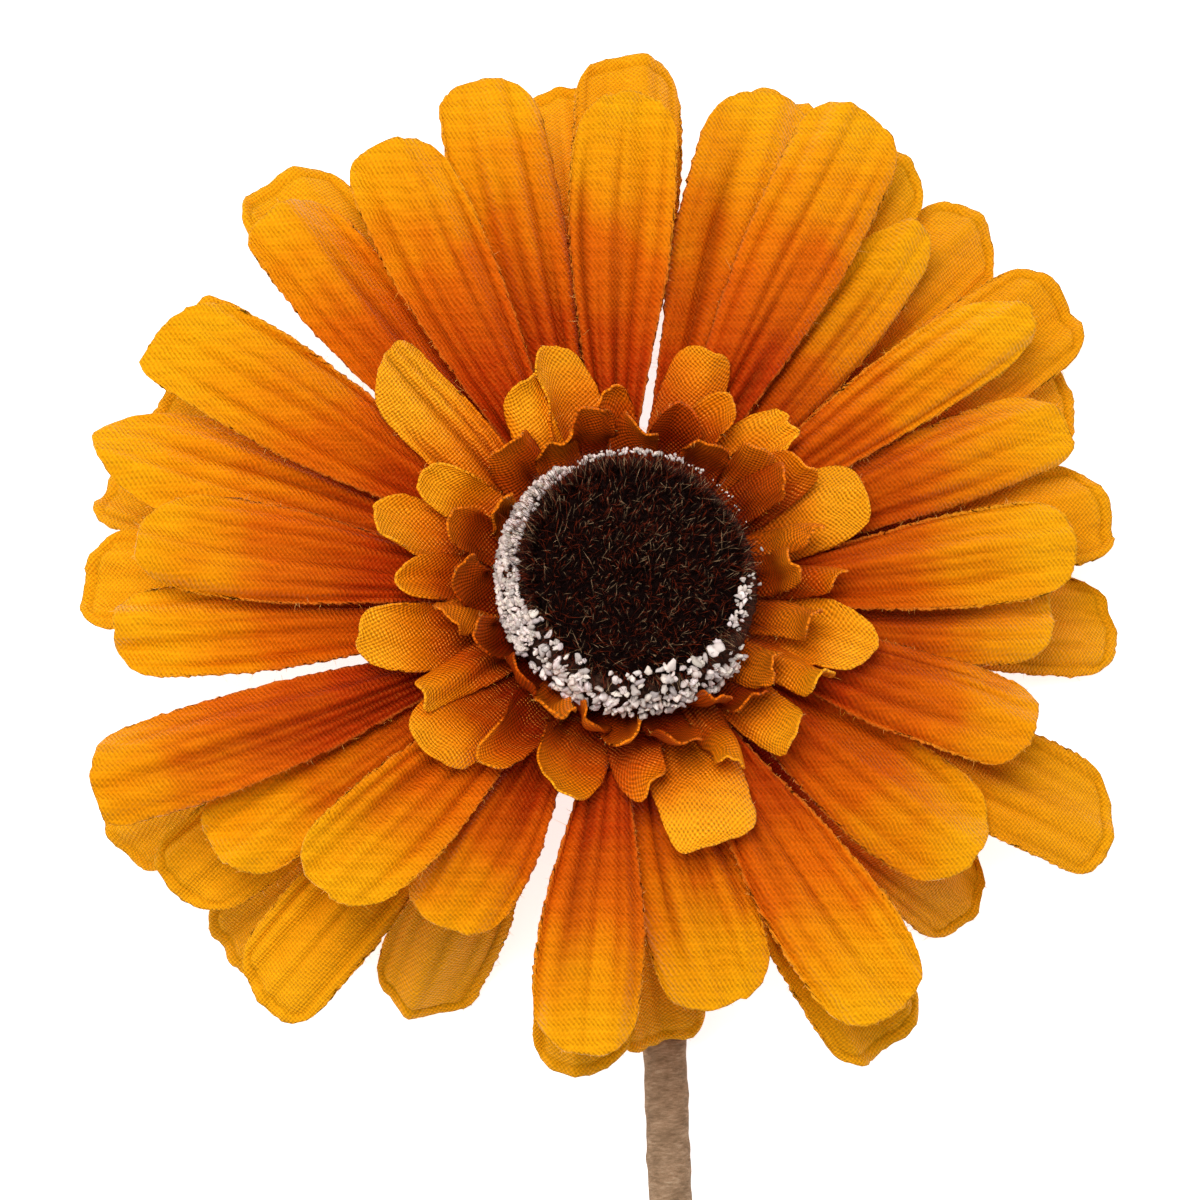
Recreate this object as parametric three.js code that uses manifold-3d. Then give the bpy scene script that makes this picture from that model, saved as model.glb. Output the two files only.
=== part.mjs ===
// An artificial gerbera on a wire stem, lying on a flat surface with its head turned up.
// Millimetres, +Z up, the surface at z = 0. The stem runs towards -Y and the head faces +Z.
// Azimuths are in degrees, anticlockwise from +X, seen from above.
import * as THREE from "three";
import { mergeVertices } from "three/addons/utils/BufferGeometryUtils.js";
import Module from "manifold-3d";

const wasm = await Module();
wasm.setup();

// Clearances and cloth
const CLEARANCE = 0.3; // between pieces that touch or slide into each other
const CLOTH = 0.5; // thickness of a stamped petal layer, with its stiffening
const LAYER_PITCH = 1.3; // from one layer's middle plane to the next, on the pin

// The head: its reference point lies on its axis, level with the upper ray layer
const HEAD_HEIGHT = 28.5; // of the reference point above the surface
const HEAD_TILT = 15; // between the head's axis and straight up
const HEAD_TILT_TOWARDS = 55; // azimuth that the axis leans to
const HUB_RADIUS = 9; // of the disc that joins a layer's petals
const HUB_THICKNESS = 0.7;
const ROOT_IN_HUB = 1.5; // how far a petal's root runs into its hub

// The pin, the calyx and the pad
const PIN_RADIUS = 1.3;
const PIN_HEAD_RADIUS = 4.5;
const PIN_HEAD_THICKNESS = 1;
const PIN_DEPTH = 4.5; // of the pin in the calyx
const PIN_STUB = 1; // of the pin in the pad's backing
const CALYX_LENGTH = 10.5;
const CALYX_RADIUS = 8.5;
const CALYX_NECK_RADIUS = 4.2;
const CALYX_NECK_LENGTH = 3;
const CALYX_NECK_FLARE = 0.6; // how much wider the neck is where the cup begins
const CALYX_SHOULDER = 3.4; // of the cup, below its top
const CALYX_BAND = 1.2; // widest part of the cup, below its top
const CALYX_ROUND = 0.6; // taken off the cup's top edge
const SOCKET_DEPTH = 4.5; // of the stem in the calyx
const SEPAL_REACH = 14.5;
const SEPAL_DROP = 8; // of a sepal's tip below the calyx's top
const SEPALS = 10;
const SEPAL_WIDTH = 3.6;
const SEPAL_ROOT_WIDTH = 3.2;
const SEPAL_RISE = -1.6; // of a sepal's root, from the calyx's top
const BACKING_RADIUS = 12.5;
const BACKING_THICKNESS = 1.4;
const PAD_RADIUS = 13.2; // of the bristles at their widest
const PAD_HEIGHT = 8.6;
const PAD_CROWN = 0.9; // rise of the pad's middle over its rim
const PAD_EDGE = 1.2; // height of the slopes that round the pad's two edges
const PAD_EDGE_INSET = 1; // how far the upper one leans in
const RIM_BAND = 2; // thickness of the crumb band round the pad, at its foot
const RIM_BAND_TOP = 0.9; // and at its top
const RIM_BAND_HEIGHT = 6.2;
const RIM_BAND_FOOT = 0.4; // of the band's underside over the backing's
const RIM_BAND_ROUND = 0.6; // taken off the band's lower edge

// The stem
const WIRE_RADIUS = 1;
const SHEATH_WALL = 0.8;
const WRAP_WALL = 0.3;
const STEM_SIDES = 12;
const STEM_RUN = 365; // from the end of the bend to the cut end
const STEM_SLANT = 2.2; // degrees off -Y, towards +X
const BEND_LENGTH = 22; // along the surface, from the head's reference point
const BEND_OFFSET = 4.4; // of the stem from the reference point at the end of the bend
const BEND_PULL_DOWN = 0.85; // how far the bend keeps to the head's axis, as a share of its height
const BEND_PULL_ALONG = 0.45; // and to the stem's line, as a share of its length

const sheathInner = WIRE_RADIUS + CLEARANCE;
const wrapInner = sheathInner + SHEATH_WALL + CLEARANCE;
const stemRadius = wrapInner + WRAP_WALL;
const OVER_STEM = 2 * stemRadius + 2; // raises the tip of the petal that crosses the stem
const rimRadius = PAD_RADIUS + CLEARANCE + RIM_BAND;

// Ray layers, from the lowest up. Each petal: azimuth, how far it falls short of the layer's reach,
// and width. A layer's tips lie at `tipLow` on the side the head leans to and `tipHigh` opposite.
// The lowest layer droops to the surface all round, except over the stem.
const RAY_LAYERS = [
  {
    name: "ray_layer_4",
    reach: 66,
    tipLow: 0.7,
    tipHigh: 0.7,
    arch: 5,
    petals: [
      [357, 8, 13], [25, 9, 13], [46, 5.5, 13], [72, 5, 13],
      [97, 6, 12], [147, 6, 12], [167, 6, 12], [205, 1, 12.5],
      [222.5, 5.5, 13], [244, 13, 12], [275, 14.5, 13, OVER_STEM], [320, 10.5, 13.5],
    ],
  },
  {
    name: "ray_layer_3",
    reach: 65,
    tipLow: 7,
    tipHigh: 22,
    arch: 3.5,
    petals: [
      [11, 7.5, 13], [34, 2, 14], [58, 4, 13], [88, 2, 13.5],
      [129.5, 2.5, 14.5], [157, 6.5, 12], [177.5, 3, 12.5], [213, 3.5, 12.5],
      [228.5, 3, 12.5], [266, 10, 12.5], [301, 4.5, 14], [335, 1.5, 14],
    ],
  },
  {
    name: "ray_layer_2",
    reach: 64,
    tipLow: 14,
    tipHigh: 37,
    arch: 3,
    petals: [
      [24, 8.5, 13], [52.5, 9, 12], [74, 2.5, 13], [104.5, 1.5, 12.5],
      [131.5, 4, 12.5], [162.5, 0.5, 13], [184.5, 5.5, 11], [212, 9, 12],
      [242.5, 21, 12], [285, 15.5, 13.5], [325, 13, 14.5], [358.5, 13.5, 12],
    ],
  },
  {
    name: "ray_layer_1",
    reach: 65,
    tipLow: 19.5,
    tipHigh: 45,
    arch: 2.5,
    petals: [
      [7.5, 11.5, 12.5], [37, 6.5, 13], [63, 1.5, 13], [88.5, 6, 12.5],
      [117, 5.5, 12.5], [149, 3.5, 13], [171.5, 9, 12], [198.5, 0.5, 12],
      [224, 17, 12.5], [266.5, 12.5, 12.5], [304, 7.5, 13.5], [341, 14.5, 12.5],
    ],
  },
];

// Inner layers, from the lowest up: azimuth, how far the tip stands out from the rim band, and width.
// They leave the hub flat, pass under the pad and stand up round it to `tipRise` over their hub.
const INNER_LAYERS = [
  {
    name: "mid_layer_2",
    tipRise: 8,
    bendOut: 6.5,
    petals: [
      [22, 13.5, 9.5], [48, 10.5, 7], [73, 12, 9], [106.5, 12.5, 8],
      [137, 22.5, 8.5], [164, 14, 7.5], [192, 15, 7], [220, 17, 9],
      [250, 10, 8], [287, 16.5, 10], [316, 10, 7.5], [346, 12, 8],
    ],
  },
  {
    name: "mid_layer_1",
    tipRise: 8,
    bendOut: 5,
    petals: [
      [5, 8.5, 6.5], [35, 7, 6.5], [60, 7.5, 6.5], [86, 8, 7],
      [120, 10, 6.5], [149, 10.5, 6.5], [176, 11, 6.5], [206, 11, 6.5],
      [234, 9.5, 6.5], [268, 8, 6.5], [302, 8.5, 6.5], [331, 8.5, 6.5],
    ],
  },
  {
    name: "frill_layer_2",
    tipRise: 9,
    bendOut: 3.6,
    petals: [
      [19, 5, 5.5], [49, 5, 5.5], [77, 5, 5.5], [105, 5.5, 5.5],
      [134, 6, 5.5], [162, 7, 5.5], [190, 6, 5.5], [219, 5, 5.5],
      [251, 5, 5.5], [284, 5, 5.5], [316, 5, 5.5], [347, 5, 5.5],
    ],
  },
  {
    name: "frill_layer_1",
    tipRise: 9.2,
    bendOut: 3.4,
    petals: [
      [3, 2.8, 5], [34, 3.2, 5], [62, 2.8, 5], [91, 2.8, 5],
      [120, 3.2, 5], [148, 3.2, 5], [176, 3.2, 5], [205, 2.8, 5],
      [235, 2.8, 5], [267, 2.8, 5], [300, 2.8, 5], [331, 2.8, 5],
    ],
  },
];

// Heights along the head's axis, over the reference point
const layerNames = [...RAY_LAYERS, ...INNER_LAYERS].map((layer) => layer.name);
const layerRise = (name) =>
  (layerNames.indexOf(name) - layerNames.indexOf("ray_layer_1")) * LAYER_PITCH;
const stackTop = layerRise("frill_layer_1") + HUB_THICKNESS / 2;
const calyxTop = layerRise("ray_layer_4") - HUB_THICKNESS / 2 - CLEARANCE;
const calyxBase = calyxTop - CALYX_LENGTH;
const pinHeadBase = stackTop + CLEARANCE;
const backingBase = pinHeadBase + PIN_HEAD_THICKNESS + CLEARANCE;
const padBase = backingBase + BACKING_THICKNESS + CLEARANCE;

// The head's own frame
const radians = THREE.MathUtils.degToRad;
const polar = (azimuth, radius, height = 0) =>
  new THREE.Vector3(Math.cos(radians(azimuth)) * radius, Math.sin(radians(azimuth)) * radius, height);
const headCentre = new THREE.Vector3(0, 0, HEAD_HEIGHT);
const headAxis = polar(HEAD_TILT_TOWARDS, Math.sin(radians(HEAD_TILT)), Math.cos(radians(HEAD_TILT)));
const headTurn = new THREE.Quaternion().setFromUnitVectors(new THREE.Vector3(0, 0, 1), headAxis);
const onHead = (azimuth, radius, rise) =>
  polar(azimuth, radius, rise).applyQuaternion(headTurn).add(headCentre);

// A closed body through rings that all have the same number of points.
function loft(rings) {
  const count = rings[0].length;
  const positions = rings.flat().flatMap((point) => point.toArray());
  const index = [];
  for (let ring = 0; ring + 1 < rings.length; ring++) {
    for (let i = 0; i < count; i++) {
      const a = ring * count + i;
      const b = ring * count + ((i + 1) % count);
      index.push(a, b, b + count, a, b + count, a + count);
    }
  }
  const last = (rings.length - 1) * count;
  for (let i = 1; i + 1 < count; i++) {
    index.push(0, i + 1, i, last, last + i, last + i + 1);
  }
  const geometry = new THREE.BufferGeometry();
  geometry.setAttribute("position", new THREE.Float32BufferAttribute(positions, 3));
  geometry.setIndex(index);
  return geometry;
}

// A body of revolution round the head's axis, from [radius, rise] corners in a closed loop.
function turned(corners, segments = 24) {
  const profile = corners.map(([radius, rise]) => new THREE.Vector2(radius, rise));
  profile.push(profile[0].clone());
  const geometry = new THREE.LatheGeometry(profile, segments);
  geometry.rotateX(Math.PI / 2);
  return geometry.applyQuaternion(headTurn).translate(...headCentre.toArray());
}

function solidOf(geometry) {
  const bare = new THREE.BufferGeometry().setAttribute("position", geometry.getAttribute("position"));
  if (geometry.index) bare.setIndex(geometry.index);
  const merged = mergeVertices(bare, 1e-4);
  return new wasm.Manifold(
    new wasm.Mesh({
      numProp: 3,
      vertProperties: new Float32Array(merged.attributes.position.array),
      triVerts: new Uint32Array(merged.index.array),
    }),
  );
}

// One body from geometries that run into each other.
function joined(geometries) {
  const whole = geometries.map(solidOf).reduce((sum, solid) => sum.add(solid));
  const { vertProperties, triVerts } = whole.getMesh();
  const geometry = new THREE.BufferGeometry();
  geometry.setAttribute("position", new THREE.Float32BufferAttribute(vertProperties, 3));
  geometry.setIndex(Array.from(triVerts));
  return geometry;
}

// A petal is narrow at its root, widest at `WIDEST` of its length, and rounded at its tip.
const WIDEST = 0.7;
const TIP_ROUNDING = 0.31; // a little over the length that is left, so the tip ends blunt
const CUP_ONSET = 0.3; // share of the length over which the arch across a petal sets in
function petalHalfWidth(along, rootWidth, width) {
  if (along > WIDEST) return (width / 2) * Math.sqrt(1 - ((along - WIDEST) / TIP_ROUNDING) ** 2);
  const opening = Math.sin((along / WIDEST) * (Math.PI / 2)) ** 1.5;
  return THREE.MathUtils.lerp(rootWidth, width, opening) / 2;
}

// Cloth along a curve, arched across so that its edges hang `cup` below its middle.
function petal(curve, stations, rootWidth, width, cup) {
  const rings = stations.map((along) => {
    const middle = curve.getPoint(along);
    const forward = curve.getTangent(along);
    const side = new THREE.Vector3().crossVectors(headAxis, forward).normalize();
    const up = new THREE.Vector3().crossVectors(forward, side);
    const half = petalHalfWidth(along, rootWidth, width);
    const drop = cup * (half / (width / 2)) ** 2 * Math.min(1, along / CUP_ONSET);
    const at = (across, lift) => {
      const edge = middle.clone().addScaledVector(side, across * half);
      return edge.addScaledVector(up, lift - Math.abs(across) * drop);
    };
    return [
      at(-1, -CLOTH / 2), at(0, -CLOTH / 2), at(1, -CLOTH / 2),
      at(1, CLOTH / 2), at(0, CLOTH / 2), at(-1, CLOTH / 2),
    ];
  });
  return loft(rings);
}

const HUB_SIDES = 12;
// The disc at the middle of a layer, with a hole for the pin.
function hub(rise) {
  const hole = PIN_RADIUS + CLEARANCE;
  const half = HUB_THICKNESS / 2;
  return turned(
    [[hole, rise - half], [HUB_RADIUS, rise - half], [HUB_RADIUS, rise + half], [hole, rise + half]],
    HUB_SIDES,
  );
}

const RAY_CUP = 0.8;
const RAY_ROOT_WIDTH = 3.6;
const SHOULDER = 5; // how far out a ray petal keeps to its hub's plane
const RAY_STATIONS = [0, 0.22, 0.48, 0.72, 0.9, 1];
function rayPetal(layer, [azimuth, short, width, raised = 0]) {
  const rise = layerRise(layer.name);
  const lean = (1 - Math.cos(radians(azimuth - HEAD_TILT_TOWARDS))) / 2;
  const tipHeight = THREE.MathUtils.lerp(layer.tipLow, layer.tipHigh, lean) + raised;
  const tip = polar(azimuth, layer.reach - short, tipHeight);
  const root = onHead(azimuth, HUB_RADIUS - ROOT_IN_HUB, rise);
  const shoulder = onHead(azimuth, HUB_RADIUS + SHOULDER, rise);
  const crest = shoulder.clone().lerp(tip, 0.5);
  crest.z += layer.arch;
  const curve = new THREE.CubicBezierCurve3(root, shoulder, crest, tip);
  return petal(curve, RAY_STATIONS, RAY_ROOT_WIDTH, width, RAY_CUP);
}

const INNER_CUP = -0.6;
const INNER_ROOT_WIDTH = 3;
const INNER_SHOULDER = 3.5; // how far inside the crumb band's radius an inner petal turns up
const INNER_STATIONS = [0, 0.35, 0.62, 0.86, 1];
function innerPetal(layer, [azimuth, standOut, width]) {
  const rise = layerRise(layer.name);
  const root = onHead(azimuth, HUB_RADIUS - ROOT_IN_HUB, rise);
  const shoulder = onHead(azimuth, rimRadius - INNER_SHOULDER, rise);
  const bend = onHead(azimuth, rimRadius + layer.bendOut, rise);
  const tip = onHead(azimuth, rimRadius + standOut, rise + layer.tipRise);
  const curve = new THREE.CubicBezierCurve3(root, shoulder, bend, tip);
  return petal(curve, INNER_STATIONS, INNER_ROOT_WIDTH, width, INNER_CUP);
}

function petalLayer(layer, makePetal) {
  return joined([hub(layerRise(layer.name)), ...layer.petals.map((values) => makePetal(layer, values))]);
}

const PIN_SIDES = 16;
// A pin through all the layers, with a flat head that keeps them on it.
function pin() {
  return turned(
    [
      [0, calyxTop - PIN_DEPTH], [PIN_RADIUS, calyxTop - PIN_DEPTH], [PIN_RADIUS, pinHeadBase],
      [PIN_HEAD_RADIUS, pinHeadBase], [PIN_HEAD_RADIUS, pinHeadBase + PIN_HEAD_THICKNESS],
      [PIN_RADIUS, pinHeadBase + PIN_HEAD_THICKNESS],
      [PIN_RADIUS, backingBase + PIN_STUB], [0, backingBase + PIN_STUB],
    ],
    PIN_SIDES,
  );
}

const CUP_SHOULDER_SHARE = 0.85; // the cup's radius at its shoulder, as a share of its widest
const SEPAL_OVERLAP = 3; // of a sepal's root with the cup
const SEPAL_BEND_OUT = 2;
const SEPAL_BEND_DOWN = 0.8;
const SEPAL_CUP = 0.3;
const SEPAL_STATIONS = [0, 0.6, 1];
// A cup with a bore for the pin above and a socket for the stem below, and a ring of sepals.
function calyx() {
  const bore = PIN_RADIUS + CLEARANCE;
  const socket = stemRadius + CLEARANCE;
  const cup = turned([
    [bore, calyxTop],
    [bore, calyxBase + SOCKET_DEPTH],
    [socket, calyxBase + SOCKET_DEPTH],
    [socket, calyxBase],
    [CALYX_NECK_RADIUS, calyxBase],
    [CALYX_NECK_RADIUS + CALYX_NECK_FLARE, calyxBase + CALYX_NECK_LENGTH],
    [CALYX_RADIUS * CUP_SHOULDER_SHARE, calyxTop - CALYX_SHOULDER],
    [CALYX_RADIUS, calyxTop - CALYX_BAND],
    [CALYX_RADIUS - CALYX_ROUND, calyxTop],
  ]);
  const rise = calyxTop + SEPAL_RISE;
  const sepals = Array.from({ length: SEPALS }, (_, i) => {
    const azimuth = (i * 360) / SEPALS;
    const curve = new THREE.QuadraticBezierCurve3(
      onHead(azimuth, CALYX_RADIUS - SEPAL_OVERLAP, rise),
      onHead(azimuth, CALYX_RADIUS + SEPAL_BEND_OUT, rise - SEPAL_BEND_DOWN),
      onHead(azimuth, SEPAL_REACH, calyxTop - SEPAL_DROP),
    );
    return petal(curve, SEPAL_STATIONS, SEPAL_ROOT_WIDTH, SEPAL_WIDTH, SEPAL_CUP);
  });
  return joined([cup, ...sepals]);
}

// The backing disc of the pad, the bristles that stand on it, and the crumbs round them.
function padBacking() {
  const bore = PIN_RADIUS + CLEARANCE;
  const top = backingBase + BACKING_THICKNESS;
  return turned([
    [bore, backingBase], [BACKING_RADIUS, backingBase], [BACKING_RADIUS, top], [bore, top],
  ]);
}

const CROWN_AT = 0.6; // a ring between the rim and the middle, as a share of the radius
const CROWN_SHARE = 0.7; // and how much of the crown's rise it has
function bristlePad() {
  const rim = padBase + PAD_HEIGHT - PAD_CROWN;
  return turned([
    [0, padBase],
    [BACKING_RADIUS, padBase],
    [PAD_RADIUS, padBase + PAD_EDGE],
    [PAD_RADIUS, rim - PAD_EDGE],
    [PAD_RADIUS - PAD_EDGE_INSET, rim],
    [PAD_RADIUS * CROWN_AT, rim + PAD_CROWN * CROWN_SHARE],
    [0, rim + PAD_CROWN],
  ]);
}

function rimBand() {
  const inner = PAD_RADIUS + CLEARANCE;
  const foot = backingBase + RIM_BAND_FOOT;
  return turned([
    [inner, foot],
    [rimRadius - RIM_BAND_ROUND, foot],
    [rimRadius, foot + 1],
    [inner + RIM_BAND_TOP, foot + RIM_BAND_HEIGHT],
    [inner, foot + RIM_BAND_HEIGHT],
  ]);
}

// The stem's route: down from the calyx's socket, round the bend and along the surface.
const stemHeading = new THREE.Vector3(Math.sin(radians(STEM_SLANT)), -Math.cos(radians(STEM_SLANT)), 0);
const bendStart = onHead(0, 0, calyxBase - 1);
const bendEnd = new THREE.Vector3(BEND_OFFSET, -BEND_LENGTH, stemRadius);
const neck = new THREE.CubicBezierCurve3(
  bendStart,
  bendStart.clone().addScaledVector(headAxis, -(bendStart.z - stemRadius) * BEND_PULL_DOWN),
  bendEnd.clone().addScaledVector(stemHeading, -BEND_LENGTH * BEND_PULL_ALONG),
  bendEnd,
);
const STRAIGHT_STEPS = 2;
const NECK_STEPS = 10;
const cutEnd = bendEnd.clone().addScaledVector(stemHeading, STEM_RUN);

// The route is walked in even steps of its own parameter: one in the socket, most in the neck.
class StemRoute extends THREE.Curve {
  getPoint(t) {
    const step = t * (1 + NECK_STEPS + STRAIGHT_STEPS);
    if (step <= 1) return onHead(0, 0, calyxBase + SOCKET_DEPTH - CLEARANCE).lerp(bendStart, step);
    if (step <= 1 + NECK_STEPS) return neck.getPoint((step - 1) / NECK_STEPS);
    return bendEnd.clone().lerp(cutEnd, (step - 1 - NECK_STEPS) / STRAIGHT_STEPS);
  }
  getPointAt(u) {
    return this.getPoint(u);
  }
  getTangentAt(u) {
    return this.getTangent(u);
  }
}
const stemRoute = new StemRoute();

const circle = (radius) =>
  Array.from({ length: STEM_SIDES }, (_, i) => {
    const angle = (i / STEM_SIDES) * 2 * Math.PI;
    return new THREE.Vector2(Math.cos(angle) * radius, Math.sin(angle) * radius);
  });

// A tube along the stem's route, or a rod where `inner` is 0.
function alongStem(inner, outer) {
  const section = new THREE.Shape(circle(outer));
  if (inner > 0) section.holes.push(new THREE.Path(circle(inner).reverse()));
  return new THREE.ExtrudeGeometry(section, {
    steps: 1 + NECK_STEPS + STRAIGHT_STEPS,
    extrudePath: stemRoute,
    bevelEnabled: false,
  });
}

const matte = (color, roughness = 0.85, metalness = 0) =>
  new THREE.MeshStandardMaterial({ color, roughness, metalness });
const rayRear = matte(0xe69018);
const rayFront = matte(0xdc700a);
const midCloth = matte(0xe2930f);
const frillCloth = matte(0x9a3a08);

const flower = new THREE.Group();
flower.name = "artificial_gerbera";
function add(name, geometry, material) {
  const mesh = new THREE.Mesh(geometry, material);
  mesh.name = name;
  flower.add(mesh);
}

RAY_LAYERS.forEach((layer, i) => {
  add(layer.name, petalLayer(layer, rayPetal), i < 2 ? rayRear : rayFront);
});
INNER_LAYERS.forEach((layer, i) => {
  add(layer.name, petalLayer(layer, innerPetal), i < 2 ? midCloth : frillCloth);
});
add("head_pin", pin(), matte(0x6f6a5c, 0.5));
add("calyx_cup", calyx(), matte(0x6d6a34, 0.6));
add("pad_backing", padBacking(), matte(0x3a2016, 0.9));
add("bristle_pad", bristlePad(), matte(0x2a0f0a, 0.95));
add("rim_crumbs", rimBand(), matte(0xd8cdc4, 0.95));
add("stem_wire", alongStem(0, WIRE_RADIUS), matte(0x8d9094, 0.4, 1));
add("stem_sheath", alongStem(sheathInner, sheathInner + SHEATH_WALL), matte(0x5f6b3a, 0.5));
add("stem_wrap", alongStem(wrapInner, stemRadius), matte(0x9c7d62, 0.95));

// The origin goes to the middle of the box's underside.
const box = new THREE.Box3().setFromObject(flower);
const middle = box.getCenter(new THREE.Vector3());
flower.position.set(-middle.x, -middle.y, -box.min.z);

export default flower;
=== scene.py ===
import math

import bmesh
import bpy
import numpy as np
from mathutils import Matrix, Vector


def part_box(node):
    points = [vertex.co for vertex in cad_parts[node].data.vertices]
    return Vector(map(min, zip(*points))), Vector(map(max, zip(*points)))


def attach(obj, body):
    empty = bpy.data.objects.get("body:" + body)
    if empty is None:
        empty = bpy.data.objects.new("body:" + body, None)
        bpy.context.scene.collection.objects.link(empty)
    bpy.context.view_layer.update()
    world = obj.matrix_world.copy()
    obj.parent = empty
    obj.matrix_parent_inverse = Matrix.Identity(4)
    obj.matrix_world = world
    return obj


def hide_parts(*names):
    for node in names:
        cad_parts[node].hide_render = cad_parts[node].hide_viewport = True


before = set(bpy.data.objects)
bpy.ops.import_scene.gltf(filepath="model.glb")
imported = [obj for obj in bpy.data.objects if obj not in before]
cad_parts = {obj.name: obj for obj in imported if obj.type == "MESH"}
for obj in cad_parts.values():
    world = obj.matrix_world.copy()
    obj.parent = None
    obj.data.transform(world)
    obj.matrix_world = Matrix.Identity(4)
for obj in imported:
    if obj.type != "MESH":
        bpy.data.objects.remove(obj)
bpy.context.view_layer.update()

# An artificial gerbera, lying on its side with its head turned up. Lengths in this script are in
# millimetres until a mesh is made, azimuths in degrees anticlockwise from +X as seen from above.
MM = 0.001
SEED = 7

# The flower, with the same driving sizes as the CAD source
HEAD_TILT = 15
HEAD_TILT_TOWARDS = 55
LAYER_PITCH = 1.3
CLEARANCE = 0.3
HUB_RADIUS = 9
HUB_THICKNESS = 0.7
HUB_HOLE = 1.6
ROOT_IN_HUB = 1.5
SHOULDER = 5
PIN_HEAD_THICKNESS = 1
BACKING_RADIUS = 12.5
BACKING_THICKNESS = 1.4
PAD_RADIUS = 13.2
PAD_HEIGHT = 8.6
RIM_BAND = 2
RIM_BAND_HEIGHT = 6.2
CALYX_LENGTH = 10.5
CALYX_RADIUS = 8.5
CALYX_NECK_RADIUS = 4.2
SOCKET_DEPTH = 4.5
SEPALS = 10
SEPAL_REACH = 14.5
SEPAL_DROP = 8
STEM_RADIUS = 2.7
STEM_RUN = 365
STEM_SLANT = 2.2
BEND_LENGTH = 22
BEND_OFFSET = 4.4
OVER_STEM = 2 * STEM_RADIUS + 2
WRAP_SLANT = math.radians(52)  # of the paper's creases on the stem
WINDING = 15.0  # length of stem that one turn of the paper covers
BRISTLES = 7400  # over the pad's top
SIDE_BRISTLES = 3800
CLOTH = 0.26  # thickness of the cloth itself
THREAD = 0.56  # one repeat of the weave, two threads each way
LOWEST_CLOTH = 0.2  # height of the cloth's middle where a tip touches the floor
FLOOR_EASE = 0.4  # how gently it flattens there
RAY_ROOT = 3.6  # width of a ray petal where it leaves the hub
INNER_ROOT = 3.0
RAY_GRID = (120, 29)  # points along and across a ray petal
INNER_GRID = (56, 23)
RAY_FRAYS = 46  # loose threads on one ray petal's edge
INNER_FRAYS = 10
REAR_LIP = 0.45  # depth of the line pressed inside the rear petals' rims
# Zones of the frill, darker there as painted shade: their direction, and the degrees from it where each is
# full and where it ends
FRILL_DARK = (97, 25, 60)
FRILL_FOOT = (258, 40, 80)

VIEW_DISTANCE = 750.0  # of the camera over the head's reference point
VIEW_WIDTH = 138.5  # of the picture at that point
SIGHT_LINE = np.array([-2.1, 0.0, 0.0])  # of the camera's axis from the reference point

# Ray layers from the lowest up: azimuth, shortfall from the layer's reach, width, raised tip
RAY_LAYERS = [
    dict(name="ray_layer_4", reach=66, tip_low=0.7, tip_high=0.7, arch=5, petals=[
        (357, 8, 13), (25, 9, 13), (46, 5.5, 13), (72, 5, 13), (97, 6, 12), (147, 6, 12),
        (167, 6, 12), (205, 1, 12.5), (222.5, 5.5, 13), (244, 13, 12), (275, 14.5, 13, OVER_STEM),
        (320, 10.5, 13.5)]),
    dict(name="ray_layer_3", reach=65, tip_low=7, tip_high=22, arch=3.5, petals=[
        (11, 7.5, 13), (34, 2, 14), (58, 4, 13), (88, 2, 13.5), (129.5, 2.5, 14.5), (157, 6.5, 12),
        (177.5, 3, 12.5), (213, 3.5, 12.5), (228.5, 3, 12.5), (266, 10, 12.5), (301, 4.5, 14),
        (335, 1.5, 14)]),
    dict(name="ray_layer_2", reach=64, tip_low=14, tip_high=37, arch=3, petals=[
        (24, 8.5, 13), (52.5, 9, 12), (74, 2.5, 13), (104.5, 1.5, 12.5), (131.5, 4, 12.5),
        (162.5, 0.5, 13), (184.5, 5.5, 11), (212, 9, 12), (242.5, 21, 12), (285, 15.5, 13.5),
        (325, 13, 14.5), (358.5, 13.5, 12)]),
    dict(name="ray_layer_1", reach=65, tip_low=19.5, tip_high=45, arch=2.5, petals=[
        (7.5, 11.5, 12.5), (37, 6.5, 13), (63, 1.5, 13), (88.5, 6, 12.5), (117, 5.5, 12.5),
        (149, 3.5, 13), (171.5, 9, 12), (198.5, 0.5, 12), (224, 17, 12.5), (266.5, 12.5, 12.5),
        (304, 7.5, 13.5), (341, 14.5, 12.5)]),
]

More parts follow.
